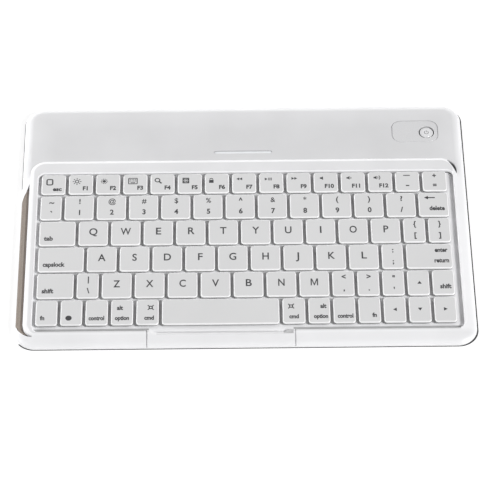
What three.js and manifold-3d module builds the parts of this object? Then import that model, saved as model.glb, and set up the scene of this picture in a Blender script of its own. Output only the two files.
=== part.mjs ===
// Tablet keyboard case: a thin white keyboard base for a 9.7-inch tablet.
// Units are millimetres. X runs along the width, Y from the typist's side to the rear, Z up.
// The origin is the centre of the bounding box at the surface the feet stand on.
import * as THREE from 'three';
import { mergeVertices } from 'three/addons/utils/BufferGeometryUtils.js';
import Module from 'manifold-3d';

const wasm = await Module();
wasm.setup();

// ---- Driving dimensions ----
const CLEARANCE = 0.3; // gap between a piece and the seat cut for it

const SHELL_HALF_WIDTH = 123;
const SHELL_HALF_DEPTH = 86;
const SHELL_CORNER = 11;
const SHELL_UNDERCUT = { inset: 2.2, rise: 1.8 }; // rounding of the lower outer edge
const DECK_EDGE = { inset: 5, rise: 3 }; // wide soft rounding of the deck's outer edge
const RIM_EDGE = { inset: 5.5, rise: 3.8 }; // the same for the front lip and the side rims
const SHELL_BOTTOM = 0.6;
const DECK_TOP = 5.4; // rear deck
const DECK_UNDERSIDE = 4.1;
const ISLAND_TOP = 6.6; // the raised island round the keys, the front lip and the side rims
const RIM_RAMP = { low: 42, high: 18 }; // the side rims rise from the deck between these depths

const ISLAND = { x0: -118.9, x1: 118.6, y0: -80.6, y1: 44.4 };
const ISLAND_CORNER = 9;
const ISLAND_EDGE = { inset: 3, rise: 1.4 };
const WELL = { x0: -114, x1: 116.2, y0: -76.6, y1: 34.8 }; // the sunken field the keys stand in
const WELL_CORNER = 3.5;
const WELL_FLOOR = 3.9; // upper side of the key tray
const TRAY_THICKNESS = 0.5;
const TRAY_OVERLAP = 1.5; // the tray reaches this far under the island all round

const KEY_TOP = 6.6;
const KEY_HEIGHT = 1.4;
const KEY_GAP = 1.6; // between neighbours in a row
const KEY_CORNER = 1.8;
const LAYER_CORNER = 3; // corners of the tray and of the sheets under it
const KEY_FIELD_LEFT = -113.05;
const KEY_FIELD_WIDTH = 226.3;
const KEY_FIELD_FRONT = -73.2;
const ROW_PITCH = 18.5;
const ROW_DEPTH = 17.25;
const FUNCTION_ROW_DEPTH = 14.4;
const WEB_DEPTH = 4; // bar that joins the keys of one strip
const WEB_HEIGHT = 0.5;
const FLOOR_OPENING_INSET = 2; // the opening under each key is this much smaller all round

const COVER_TOP = 1.6;
const COVER_INSET = 4.4; // from the shell's outline to the cover's edge
const FOOT_LENGTH = 190;
const FOOT_WIDTH = 7;
const FOOT_TOP = 0.9;
const FOOT_OFFSET = 71; // of each foot strip from the middle

const PANEL = { x: 96.8, y: 65, length: 25.6, width: 15.8, corner: 5, bottom: 5, top: 5.45 };
const BUTTON = { x: 103.3, y: 64.5, radius: 3.8, bottom: 4.3, top: 5.1 };
const GROOVE = { x: -0.3, y: 50.6, length: 32.5, width: 2.2, bottom: 4.5 };
const NOTCH = { x0: -52.7, x1: 26.2, ramp: 6.5, low: 4.4, crest: -80.5 }; // thumb relief in the lip
const SEAM = { width: 0.4, depth: 0.35 }; // fine line down the lip at each end of the relief
const CORNER_POCKET = { from: [113.2, 42.9], to: [118.4, 32.6], inner: 0.4, outer: 1.9, bottom: 4.6 };
const PORT = { x: 70, y0: 78, y1: 84.8, width: 7.6, bottom: 1.9, top: 3.7, wall: 0.35 };
const CHANNEL = { bottom: 2.6, width: 3.8, tip: 28, full: 16 }; // left side channel
const CHANNEL_BEND = { from: 184, to: 246, wide: 3.6, narrow: 0.8 }; // round the island's corner
const GRIP_TOP = 5.1;

// Key rows from the rear to the front. Each entry is one moving piece: its name and the widths
// of the key caps on it, in letter widths. Keys joined under their caps move as one strip.
const letters = (text) => [...text].map((letter) => [`key_${letter}`, [1]]);
const KEY_ROWS = [
  [
    ['keys_function_left', Array(8).fill(0.85)],
    ['keys_function_right', Array(7).fill(0.85)],
  ],
  [
    ['keys_number_left', [0.75, 1, 1, 1, 1, 1]],
    ['keys_number_right', [1, 1, 1, 1, 1, 1]],
    ['key_delete', [1.02]],
  ],
  [['key_tab', [1.21]], ...letters('qwertyuiop'), ['keys_brackets', [0.77, 0.77]]],
  [
    ['key_caps_lock', [1.49]],
    ...letters('asdfghjkl'),
    ['key_semicolon', [0.75]],
    ['key_enter', [1.5]],
  ],
  [
    ['key_shift_left', [1.21]],
    ['key_backslash', [0.76]],
    ...letters('zxcvbnm'),
    ['keys_punctuation', [0.76, 0.76, 0.76]],
    ['key_arrow_up', [0.76]],
    ['key_shift_right', [0.76]],
  ],
  [
    ['keys_modifiers_left', [0.75, 0.75, 0.77, 0.76, 0.77]],
    ['key_space', [3.63]],
    ['keys_modifiers_right', [0.78, 0.75, 0.76, 0.76]],
    ['keys_arrows', [0.76, 0.76, 0.76]],
  ],
];

// ---- Materials ----
const material = (color, roughness, metalness = 0) =>
  new THREE.MeshStandardMaterial({ color, roughness, metalness });
const whitePlastic = material(0xf1f1f4, 0.45);
const deckPlastic = material(0xe6e6e9, 0.45);
const keyPlastic = material(0xe0e0e2, 0.5);
const panelPlastic = material(0xdedee2, 0.35);
const gripRubber = material(0x968c82, 0.8);
const footRubber = material(0xb9b9bd, 0.9);
const domeRubber = material(0xe8e8e4, 0.7);
const steel = material(0xb9bcc0, 0.35, 1);
const boardGreen = material(0x2d6b48, 0.6);
const batteryFoil = material(0x8f959c, 0.4, 0.6);
const circuitFilm = material(0xd9d2b8, 0.5);
const frostedLight = material(0xf6f8fa, 0.3);

// ---- Solids ----
function toSolid(geometry) {
  const bare = geometry.clone();
  bare.deleteAttribute('normal');
  bare.deleteAttribute('uv');
  const merged = mergeVertices(bare, 1e-4);
  const vertProperties = new Float32Array(merged.attributes.position.array);
  const triVerts = new Uint32Array(merged.index.array);
  return new wasm.Manifold(new wasm.Mesh({ numProp: 3, vertProperties, triVerts }));
}

function toGeometry(solid) {
  const mesh = solid.getMesh();
  const geometry = new THREE.BufferGeometry();
  geometry.setAttribute('position', new THREE.BufferAttribute(mesh.vertProperties, 3));
  geometry.setIndex(new THREE.BufferAttribute(mesh.triVerts, 1));
  return geometry;
}

// A flat outline raised from z0 to z1.
function prism(shape, z0, z1, { arcs = 2 } = {}) {
  const depth = z1 - z0;
  const geometry = new THREE.ExtrudeGeometry(shape, { depth, curveSegments: arcs, bevelEnabled: false });
  geometry.translate(0, 0, z0);
  return toSolid(geometry);
}

// A rounded rectangle raised from z0 to z1 whose lower and upper rims are quarter ellipses:
// `inset` is how far the rim reaches inwards and `rise` how tall it is.
function roundedSlab(rect, radius, z0, z1, lower, upper) {
  const steps = 4;
  const profile = [];
  for (let i = 0; i <= steps; i += 1) {
    const angle = (Math.PI / 2) * (i / steps);
    const inset = lower.inset * (1 - Math.sin(angle));
    profile.push({ inset, z: z0 + lower.rise * (1 - Math.cos(angle)) });
  }
  for (let i = 0; i <= steps; i += 1) {
    const angle = (Math.PI / 2) * (i / steps);
    const inset = upper.inset * (1 - Math.cos(angle));
    profile.push({ inset, z: z1 - upper.rise * (1 - Math.sin(angle)) });
  }
  const rings = profile.map(({ inset, z }) =>
    roundedRect(grow(rect, -inset), radius - inset)
      .getPoints(4)
      .slice(0, -1)
      .map((point) => new THREE.Vector3(point.x, point.y, z)),
  );
  const count = rings[0].length;
  const points = rings.flat();
  const indices = [];
  for (let ring = 0; ring + 1 < rings.length; ring += 1) {
    for (let i = 0; i < count; i += 1) {
      const a = ring * count + i;
      const b = ring * count + ((i + 1) % count);
      indices.push(a, b, b + count, a, b + count, a + count);
    }
  }
  const top = (rings.length - 1) * count;
  for (let i = 1; i + 1 < count; i += 1) {
    indices.push(0, i + 1, i);
    indices.push(top, top + i, top + i + 1);
  }
  const geometry = new THREE.BufferGeometry().setFromPoints(points);
  geometry.setIndex(indices);
  return toSolid(geometry);
}

function roundedRect({ x0, x1, y0, y1 }, radius) {
  const shape = new THREE.Shape();
  shape.absarc(x1 - radius, y0 + radius, radius, -Math.PI / 2, 0, false);
  shape.absarc(x1 - radius, y1 - radius, radius, 0, Math.PI / 2, false);
  shape.absarc(x0 + radius, y1 - radius, radius, Math.PI / 2, Math.PI, false);
  shape.absarc(x0 + radius, y0 + radius, radius, Math.PI, 1.5 * Math.PI, false);
  shape.closePath();
  return shape;
}

const grow = ({ x0, x1, y0, y1 }, by) => ({ x0: x0 - by, x1: x1 + by, y0: y0 - by, y1: y1 + by });
const around = (x, y, length, width) => ({
  x0: x - length / 2,
  x1: x + length / 2,
  y0: y - width / 2,
  y1: y + width / 2,
});
const half = (hx, hy) => around(0, 0, 2 * hx, 2 * hy);

function box({ x0, x1, y0, y1 }, z0, z1) {
  const geometry = new THREE.BoxGeometry(x1 - x0, y1 - y0, z1 - z0);
  geometry.translate((x0 + x1) / 2, (y0 + y1) / 2, (z0 + z1) / 2);
  return toSolid(geometry);
}

function disc(x, y, radius, z0, z1, sides = 32) {
  const geometry = new THREE.CylinderGeometry(radius, radius, z1 - z0, sides);
  geometry.rotateX(Math.PI / 2);
  geometry.translate(x, y, (z0 + z1) / 2);
  return toSolid(geometry);
}

const pill = (x, y, length, width) => roundedRect(around(x, y, length, width), width / 2 - 0.01);

// ---- Key layout ----
// Every cap's rectangle, grouped by the moving piece it belongs to.
function layOutKeys() {
  const pieces = [];
  KEY_ROWS.forEach((row, index) => {
    const rowsInFront = KEY_ROWS.length - 1 - index;
    const front = KEY_FIELD_FRONT + rowsInFront * ROW_PITCH;
    const depth = index === 0 ? FUNCTION_ROW_DEPTH : ROW_DEPTH;
    const units = row.flatMap(([, widths]) => widths).reduce((sum, width) => sum + width, 0);
    const unit = KEY_FIELD_WIDTH / units;
    let x = KEY_FIELD_LEFT;
    for (const [name, widths] of row) {
      const caps = widths.map((width) => {
        const x0 = x + KEY_GAP / 2;
        x += width * unit;
        return { x0, x1: x - KEY_GAP / 2, y0: front, y1: front + depth };
      });
      pieces.push({ name, caps });
    }
  });
  return pieces;
}
const keyPieces = layOutKeys();
const allCaps = keyPieces.flatMap(({ caps }) => caps);
const middle = ({ x0, x1, y0, y1 }) => [(x0 + x1) / 2, (y0 + y1) / 2];

function keyPiece({ caps }) {
  const bottom = KEY_TOP - KEY_HEIGHT;
  let solid = prism(roundedRect(caps[0], KEY_CORNER), bottom, KEY_TOP, { arcs: 1 });
  for (const cap of caps.slice(1)) {
    solid = solid.add(prism(roundedRect(cap, KEY_CORNER), bottom, KEY_TOP, { arcs: 1 }));
  }
  if (caps.length > 1) {
    const first = middle(caps[0]);
    const last = middle(caps[caps.length - 1]);
    const web = {
      x0: first[0],
      x1: last[0],
      y0: first[1] - WEB_DEPTH / 2,
      y1: first[1] + WEB_DEPTH / 2,
    };
    solid = solid.add(box(web, bottom, bottom + WEB_HEIGHT));
  }
  return solid;
}

// ---- Left side channel ----
// It runs along the left rim beside the island, comes to a point at the rear, and narrows as it
// follows the island's rounded corner at the front. `inner` and `outer` are offsets from the
// island's side, and `inner` is also the gap kept all round the piece that fills the channel.
function channelShape(inner, outer, shorten) {
  const centre = { x: ISLAND.x0 + ISLAND_CORNER, y: ISLAND.y0 + ISLAND_CORNER };
  const slope = (CHANNEL.full - CHANNEL.tip) / CHANNEL.width;
  const rearEdge = (offset) => CHANNEL.tip + slope * offset - shorten;
  const { from, to, wide, narrow } = CHANNEL_BEND;
  const last = to - 3 * shorten;
  const shape = new THREE.Shape();
  shape.moveTo(ISLAND.x0 - inner, rearEdge(inner));
  shape.lineTo(ISLAND.x0 - outer, rearEdge(outer));
  shape.lineTo(ISLAND.x0 - outer, centre.y);
  for (let i = 0; i <= 8; i++) {
    const degrees = from + ((last - from) * i) / 8;
    const width = wide + ((narrow - wide) * (degrees - from)) / (to - from);
    const radius = ISLAND_CORNER + width - inner;
    const angle = (degrees * Math.PI) / 180;
    shape.lineTo(centre.x + radius * Math.cos(angle), centre.y + radius * Math.sin(angle));
  }
  shape.absarc(centre.x, centre.y, ISLAND_CORNER + inner, (last * Math.PI) / 180, Math.PI, true);
  shape.closePath();
  return shape;
}

// ---- Casing ----
// A shape drawn in the X-Z plane (or, turned, in the Y-Z plane), as a solid along the third axis.
function crossPrism(points, from, to, turned = false) {
  const shape = new THREE.Shape(points.map(([u, v]) => new THREE.Vector2(u, v)));
  const geometry = new THREE.ExtrudeGeometry(shape, { depth: to - from, bevelEnabled: false });
  geometry.rotateX(Math.PI / 2);
  geometry.translate(0, to, 0);
  if (turned) {
    geometry.rotateZ(Math.PI / 2);
  }
  return toSolid(geometry);
}

function shellBlank() {
  const plan = half(SHELL_HALF_WIDTH, SHELL_HALF_DEPTH);
  const slab = (top, edge) =>
    roundedSlab(plan, SHELL_CORNER, SHELL_BOTTOM, top, SHELL_UNDERCUT, edge);
  const beyond = SHELL_HALF_WIDTH + 1;
  const rimZone = crossPrism(
    [
      [-SHELL_HALF_DEPTH - 1, 0],
      [RIM_RAMP.low, 0],
      [RIM_RAMP.low, DECK_TOP - 0.1],
      [RIM_RAMP.high, ISLAND_TOP + 1],
      [-SHELL_HALF_DEPTH - 1, ISLAND_TOP + 1],
    ],
    -beyond,
    beyond,
    true,
  );
  const square = { inset: 0, rise: 0 };
  const island = roundedSlab(ISLAND, ISLAND_CORNER, DECK_UNDERSIDE, ISLAND_TOP, square, ISLAND_EDGE);
  return slab(DECK_TOP, DECK_EDGE)
    .add(slab(ISLAND_TOP, RIM_EDGE).intersect(rimZone))
    .add(island);
}

// A scoop that falls from the lip towards the keys, with a sloping end at each side.
function thumbRelief() {
  const { x0, x1, ramp, low, crest } = NOTCH;
  const above = ISLAND_TOP + 1;
  const lengthwise = crossPrism(
    [
      [x0, above],
      [x1, above],
      [x1, ISLAND_TOP],
      [x1 - ramp, low],
      [x0 + ramp, low],
      [x0, ISLAND_TOP],
    ],
    -SHELL_HALF_DEPTH,
    WELL.y0 + 1,
  );
  const across = crossPrism(
    [
      [crest, above],
      [crest, ISLAND_TOP],
      [WELL.y0, low],
      [WELL.y0 + 1, low],
      [WELL.y0 + 1, above],
    ],
    x0 - 1,
    x1 + 1,
    true,
  );
  return lengthwise.intersect(across);
}

// A fine groove that follows the rounded front of the lip at a depth below its surface.
function seam(x) {
  const points = [
    [WELL.y0 + 1, ISLAND_TOP - SEAM.depth],
    [WELL.y0 + 1, ISLAND_TOP + 1],
    [-SHELL_HALF_DEPTH - 1, ISLAND_TOP + 1],
    [-SHELL_HALF_DEPTH - 1, ISLAND_TOP - RIM_EDGE.rise],
  ];
  for (let i = 0; i <= 8; i++) {
    const angle = (Math.PI * i) / 16;
    const inset = (RIM_EDGE.inset - SEAM.depth) * (1 - Math.cos(angle)) + SEAM.depth;
    const drop = RIM_EDGE.rise - (RIM_EDGE.rise - SEAM.depth) * Math.sin(angle);
    points.push([-SHELL_HALF_DEPTH + inset, ISLAND_TOP - drop]);
  }
  return crossPrism(points, x - SEAM.width / 2, x + SEAM.width / 2, true);
}

// A crescent-shaped pocket between the island's rear right corner and the right rim.
function cornerPocket() {
  const { from, to, inner, outer, bottom } = CORNER_POCKET;
  const along = [to[0] - from[0], to[1] - from[1]];
  const length = Math.hypot(...along);
  const outward = [-along[1] / length, along[0] / length];
  const point = (t, bulge) => {
    const rise = 4 * bulge * t * (1 - t);
    return new THREE.Vector2(
      from[0] + along[0] * t + outward[0] * rise,
      from[1] + along[1] * t + outward[1] * rise,
    );
  };
  const points = [];
  for (let i = 0; i <= 8; i++) {
    points.push(point(i / 8, outer));
  }
  for (let i = 7; i > 0; i--) {
    points.push(point(i / 8, inner));
  }
  return prism(new THREE.Shape(points), bottom, ISLAND_TOP + 1);
}

const panelRect = around(PANEL.x, PANEL.y, PANEL.length, PANEL.width);

function topShell() {
  const traySeat = grow(WELL, TRAY_OVERLAP + CLEARANCE);
  const coverSeat = half(SHELL_HALF_WIDTH - COVER_INSET, SHELL_HALF_DEPTH - COVER_INSET);
  const seatRect = grow(coverSeat, CLEARANCE);
  const deckHollow = { x0: -115, x1: 115, y0: 46.5, y1: 81.5 };
  const lipHollow = { x0: -104, x1: 104, y0: -81.5, y1: WELL.y0 - TRAY_OVERLAP - 1 };
  const panelSeat = roundedRect(grow(panelRect, CLEARANCE), PANEL.corner + CLEARANCE);
  const grooveShape = pill(GROOVE.x, GROOVE.y, GROOVE.length, GROOVE.width);
  const portRect = around(PORT.x, (PORT.y0 + SHELL_HALF_DEPTH) / 2, PORT.width + 0.6, 12);
  const channel = channelShape(0, CHANNEL.width + 4, 0);
  return shellBlank()
    .subtract(prism(roundedRect(WELL, WELL_CORNER), 0, ISLAND_TOP + 1))
    .subtract(prism(roundedRect(traySeat, LAYER_CORNER), 0, WELL_FLOOR + CLEARANCE, { arcs: 1 }))
    .subtract(prism(roundedRect(seatRect, 7), 0, COVER_TOP + CLEARANCE))
    .subtract(box(deckHollow, 1, DECK_UNDERSIDE))
    .subtract(box(lipHollow, 1, WELL_FLOOR))
    .subtract(thumbRelief())
    .subtract(seam(NOTCH.x0))
    .subtract(seam(NOTCH.x1))
    .subtract(cornerPocket())
    .subtract(prism(panelSeat, PANEL.bottom - CLEARANCE, DECK_TOP + 1, { arcs: 4 }))
    .subtract(disc(BUTTON.x, BUTTON.y, BUTTON.radius + CLEARANCE, 3, DECK_TOP + 1))
    .subtract(prism(grooveShape, GROOVE.bottom, DECK_TOP + 1))
    .subtract(prism(channel, CHANNEL.bottom, ISLAND_TOP + 1, { arcs: 3 }))
    .subtract(box(portRect, PORT.bottom - CLEARANCE, PORT.top + CLEARANCE));
}

function keyTray() {
  const outline = roundedRect(grow(WELL, TRAY_OVERLAP), LAYER_CORNER);
  let solid = prism(outline, WELL_FLOOR - TRAY_THICKNESS, WELL_FLOOR, { arcs: 1 });
  for (const cap of allCaps) {
    solid = solid.subtract(box(grow(cap, -FLOOR_OPENING_INSET), 0, WELL_FLOOR + 1));
  }
  return solid;
}

const footRect = (side) => around(0, side * FOOT_OFFSET, FOOT_LENGTH, FOOT_WIDTH);

function bottomCover() {
  const outline = half(SHELL_HALF_WIDTH - COVER_INSET, SHELL_HALF_DEPTH - COVER_INSET);
  let solid = prism(roundedRect(outline, 6.7), SHELL_BOTTOM, COVER_TOP, { arcs: 2 });
  for (const side of [-1, 1]) {
    const seat = roundedRect(grow(footRect(side), CLEARANCE), FOOT_WIDTH / 2);
    solid = solid.subtract(prism(seat, 0, FOOT_TOP + CLEARANCE, { arcs: 2 }));
  }
  return solid;
}

function foot(side) {
  return prism(roundedRect(footRect(side), FOOT_WIDTH / 2 - 0.1), 0, FOOT_TOP, { arcs: 2 });
}

function leftEdgeGrip() {
  return prism(channelShape(CLEARANCE, CHANNEL.width, 1.5), CHANNEL.bottom + CLEARANCE, GRIP_TOP, {
    arcs: 3,
  });
}

// ---- Keyboard layers ----
const LAYER = grow(WELL, TRAY_OVERLAP); // outline shared by the sheets under the keys
const PLATE_Z = [1.9, 2.2];
const CIRCUIT_Z = [2.5, 2.65];
const DOME_Z = [2.9, 3.1, 3.75]; // sheet bottom, sheet top, top of a pressed dome

const layerSheet = (z0, z1) => prism(roundedRect(LAYER, LAYER_CORNER), z0, z1, { arcs: 1 });

function domeSheet() {
  let solid = layerSheet(DOME_Z[0], DOME_Z[1]);
  for (const cap of allCaps) {
    const [x, y] = middle(cap);
    const geometry = new THREE.CylinderGeometry(1.4, 2.6, DOME_Z[2] - DOME_Z[0], 6);
    geometry.rotateX(Math.PI / 2);
    geometry.translate(x, y, (DOME_Z[0] + DOME_Z[2]) / 2 + 0.01);
    solid = solid.add(toSolid(geometry));
  }
  return solid;
}

// ---- Electronics under the rear deck ----
const BOARD = { x0: 40, x1: 113, y0: 50, y1: 77 };
const BOARD_Z = [1.9, 2.5];

function mainBoard() {
  const chips = [
    { x: 58, y: 62, length: 9, width: 9, height: 0.9 },
    { x: 78, y: 66, length: 12, width: 8, height: 1 },
    { x: BUTTON.x, y: BUTTON.y, length: 6, width: 6, height: 1.1 },
  ];
  let solid = box(BOARD, ...BOARD_Z);
  for (const { x, y, length, width, height } of chips) {
    solid = solid.add(box(around(x, y, length, width), BOARD_Z[1] - 0.1, BOARD_Z[1] + height));
  }
  return solid;
}

function controlPanel() {
  return prism(roundedRect(panelRect, PANEL.corner), PANEL.bottom, PANEL.top, { arcs: 4 }).subtract(
    disc(BUTTON.x, BUTTON.y, BUTTON.radius + CLEARANCE, PANEL.bottom - 1, PANEL.top + 1),
  );
}

function chargingPort() {
  const outer = around(PORT.x, (PORT.y0 + PORT.y1) / 2, PORT.width, PORT.y1 - PORT.y0);
  const socket = { ...grow(outer, -PORT.wall), y0: PORT.y0 + 1.2, y1: PORT.y1 + 1 };
  const tongue = { ...around(PORT.x, 0, 4, 0), y0: PORT.y0 + 1, y1: PORT.y1 - 1.5 };
  const centre = (PORT.bottom + PORT.top) / 2;
  return box(outer, PORT.bottom, PORT.top)
    .subtract(box(socket, PORT.bottom + PORT.wall, PORT.top - PORT.wall))
    .add(box(tongue, centre - 0.25, centre + 0.25));
}

// ---- Assembly ----
const assembly = new THREE.Group();

function addPiece(name, solid, finish) {
  const mesh = new THREE.Mesh(toGeometry(solid), finish);
  mesh.name = name;
  assembly.add(mesh);
}

addPiece('top_shell', topShell(), deckPlastic);
addPiece('key_tray', keyTray(), whitePlastic);
addPiece('bottom_cover', bottomCover(), whitePlastic);
addPiece('left_edge_grip', leftEdgeGrip(), gripRubber);
addPiece('front_foot', foot(-1), footRubber);
addPiece('rear_foot', foot(1), footRubber);
addPiece('key_support_plate', layerSheet(...PLATE_Z), steel);
addPiece('key_circuit_sheet', layerSheet(...CIRCUIT_Z), circuitFilm);
addPiece('dome_sheet', domeSheet(), domeRubber);
addPiece('main_board', mainBoard(), boardGreen);
addPiece('battery', box({ x0: -95, x1: -5, y0: 50, y1: 78 }, 1.9, 3.7), batteryFoil);
addPiece('charging_port', chargingPort(), steel);
addPiece('control_panel', controlPanel(), panelPlastic);
addPiece('power_button', disc(BUTTON.x, BUTTON.y, BUTTON.radius, BUTTON.bottom, BUTTON.top), whitePlastic);
const light = pill(GROOVE.x, GROOVE.y, GROOVE.length - 0.6, GROOVE.width - 0.6);
addPiece('indicator_bar', prism(light, GROOVE.bottom + CLEARANCE, 5.1, { arcs: 2 }), frostedLight);
for (const piece of keyPieces) {
  addPiece(piece.name, keyPiece(piece), keyPlastic);
}

export default assembly;
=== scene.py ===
import math

import bmesh
import bpy
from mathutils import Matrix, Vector


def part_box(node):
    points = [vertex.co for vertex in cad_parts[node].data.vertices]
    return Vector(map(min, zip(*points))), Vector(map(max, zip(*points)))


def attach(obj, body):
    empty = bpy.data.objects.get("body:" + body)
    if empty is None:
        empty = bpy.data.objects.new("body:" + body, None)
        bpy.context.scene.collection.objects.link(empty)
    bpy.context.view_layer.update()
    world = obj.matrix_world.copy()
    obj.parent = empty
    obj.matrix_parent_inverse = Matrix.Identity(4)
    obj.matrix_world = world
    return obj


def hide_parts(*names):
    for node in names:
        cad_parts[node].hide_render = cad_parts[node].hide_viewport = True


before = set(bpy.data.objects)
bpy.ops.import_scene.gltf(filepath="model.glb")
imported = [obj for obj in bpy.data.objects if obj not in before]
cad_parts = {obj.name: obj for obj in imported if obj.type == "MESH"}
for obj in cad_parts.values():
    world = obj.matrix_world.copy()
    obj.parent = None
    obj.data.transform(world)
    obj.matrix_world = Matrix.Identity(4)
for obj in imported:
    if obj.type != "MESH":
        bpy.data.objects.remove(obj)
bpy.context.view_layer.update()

# Shapes are drawn in millimetres and scaled to metres when they become objects.
MM = 0.001


def box_mm(node):
    """The lowest and highest corner of a CAD node, in millimetres."""
    low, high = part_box(node)
    return low / MM, high / MM


# ---- Sizes taken from the frame ----
SHELL_LOW, SHELL_HIGH = box_mm("top_shell")
HALF_WIDTH, HALF_DEPTH = SHELL_HIGH.x, SHELL_HIGH.y
SHELL_BOTTOM, ISLAND_TOP = SHELL_LOW.z, SHELL_HIGH.z
TRAY_LOW, TRAY_HIGH = box_mm("key_tray")
COVER_LOW, COVER_HIGH = box_mm("bottom_cover")
PANEL_LOW, PANEL_HIGH = box_mm("control_panel")
BUTTON_LOW, BUTTON_HIGH = box_mm("power_button")
LIGHT_LOW, LIGHT_HIGH = box_mm("indicator_bar")
GRIP_LOW, GRIP_HIGH = box_mm("left_edge_grip")
PORT_LOW, PORT_HIGH = box_mm("charging_port")

# ---- Sizes of the visible detail, in millimetres ----
ARC_STEPS = 14
CLEARANCE = 0.3
ABOVE_ALL = 9.0  # height at which cutters end, clear of every surface

SHELL_PLAN = (-HALF_WIDTH, HALF_WIDTH, -HALF_DEPTH, HALF_DEPTH)
SHELL_CORNER = 11.0
SHELL_FILLET = 0.18
LOWER_EDGE = {"inset": 2.2, "rise": 1.8}  # the turned-in lower edge of the shell
DECK_EDGE = {"inset": 5.0, "rise": 3.0}
DECK_TOP = PANEL_HIGH.z - 0.05
TRAY_OVERLAP = 1.5
WELL = (TRAY_LOW.x + TRAY_OVERLAP, TRAY_HIGH.x - TRAY_OVERLAP,
        TRAY_LOW.y + TRAY_OVERLAP, TRAY_HIGH.y - TRAY_OVERLAP)
WELL_FRONT = WELL[2]
WELL_CORNER = 3.5
WELL_EDGE = {"side": 0.7, "front": 1.4, "rise": 1.0}  # reach and height of its rounded upper edge
ISLAND = (-118.9, 118.6, -80.6, 44.4)
ISLAND_CORNER = 9.0
ISLAND_EDGE = {"inset": 3.2, "rise": 1.3}
ISLAND_FOOT = 3.0  # the island's body starts inside the deck at this height
RIM_RAMP = (42.0, 18.0)  # the side rims rise from the deck between these depths
RIM_LEAD_IN = 20.0  # the rims fade into the edge of the deck over this length
RIM_CURVE = ((8.0, 0.0), (4.0, -0.75), (0.0, -1.2), (0.0, -3.8))  # inset and drop of its control points
NOTCH = (-52.7, 26.2)  # the thumb relief in the front lip
NOTCH_CREST = -80.2
NOTCH_FLOOR = 4.4
NOTCH_RAMPS = (6.5, 5.0)  # lengths of its left and right ramps
NOTCH_END = NOTCH[1] - 1.0  # the right ramp stops short of its seam
SEAM_WIDTH, SEAM_DEPTH = 0.5, 0.8
EDGE_LINE = (0.8, 1.1)  # heights of the thin dark bead round the lower edge, a painted contact shadow, above the shell's bottom
EDGE_LINE_PROUD = (0.4, 0.8, 0.15)  # how far it stands out: left, right, and front and rear
EDGE_LINE_ROUNDING = 0.08
EDGE_LINE_DEPTH = 1.2  # how far it reaches into the shell
PANEL_CORNER = 5.0
INSERT_GAP = 0.25  # round the control panel and the light bar
BUTTON_GAP = 0.55  # round the power button
BUTTON_SEAT_FLOOR = 2.9
TRAY_SEAT_CORNER = 3.0
COVER_CORNER = 6.7
CHANNEL_FLOOR = 2.6
CHANNEL_TIP = 28.0  # depth at which the left side channel starts beside the island
CHANNEL_WIDTH = 3.8
CHANNEL_TAPER = 12.0  # length of its slanted rear end
CHANNEL_BEND = {"from": 184, "to": 246, "wide": 3.6, "narrow": 0.8}  # round the island's front corner
POCKET_ENDS = ((113.2, 42.9), (118.4, 32.6))  # the crescent behind the island's right corner
POCKET_BULGES = (2.3, 0.3)  # of its outer and its inner side
POCKET_FLOOR = 4.0
POCKET_AREA = ((112, 120), (31, 44.5))  # the widths and depths round it
BATTERY_BAY = (-115, 115, 46.5, 81.5)
BAY_TOP = 4.1


# ---- Mesh tools ----
def rect_around(x, y, length, width):
    return (x - length / 2, x + length / 2, y - width / 2, y + width / 2)


def grown(rect, by):
    x0, x1, y0, y1 = rect
    return (x0 - by, x1 + by, y0 - by, y1 + by)


def arc(x, y, radius, start, sweep, steps):
    """Points along an arc about (x, y); start and sweep are in degrees."""
    points = []
    for i in range(steps + 1):
        angle = math.radians(start + sweep * i / steps)
        points.append((x + radius * math.cos(angle), y + radius * math.sin(angle)))
    return points


def circle(x, y, radius, steps):
    return arc(x, y, radius, 0, 360, steps)[:-1]


def rounded_outline(rect, radius, steps):
    """Points of a rounded rectangle, anticlockwise from the lower right corner."""
    x0, x1, y0, y1 = rect
    corners = ((x1 - radius, y0 + radius, -90), (x1 - radius, y1 - radius, 0),
               (x0 + radius, y1 - radius, 90), (x0 + radius, y0 + radius, 180))
    points = []
    for x, y, start in corners:
        points += arc(x, y, radius, start, 90, steps)
    return points


def smoothstep(t):
    return t * t * (3 - 2 * t)


def quarter(inset, rise, z, side, steps):
    """(inset, z) pairs of a quarter ellipse: "lower" starts at z and widens, "upper" ends at z."""
    pairs = []
    for i in range(steps + 1):
        angle = math.pi / 2 * i / steps
        if side == "lower":
            pairs.append((inset * (1 - math.sin(angle)), z + rise * (1 - math.cos(angle))))
        else:
            pairs.append((inset * (1 - math.cos(angle)), z - rise * (1 - math.sin(angle))))
    return pairs


def loft(bm, rings):
    """Joins rings of equal length, lowest first, into one skin with closed ends."""
    made = [[bm.verts.new(point) for point in ring] for ring in rings]
    count = len(made[0])
    for low, high in zip(made, made[1:]):
        for i in range(count):
            j = (i + 1) % count
            bm.faces.new((low[i], low[j], high[j], high[i]))
    bm.faces.new(list(reversed(made[0])))
    bm.faces.new(made[-1])


def slab(bm, rect, radius, profile, steps=ARC_STEPS):
    """A rounded rectangle lofted through (inset, z) pairs."""
    rings = []
    for inset, z in profile:
        outline = rounded_outline(grown(rect, -inset), max(radius - inset, 0.05), steps)
        rings.append([(x, y, z) for x, y in outline])
    loft(bm, rings)


def prism(bm, outline, z0, z1):
    loft(bm, [[(x, y, z) for x, y in outline] for z in (z0, z1)])


def lathe(bm, x, y, profile, steps=48):
    """A closed body of revolution about a vertical axis through (x, y)."""
    loft(bm, [[(u, v, z) for u, v in circle(x, y, radius, steps)] for radius, z in profile])


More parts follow.
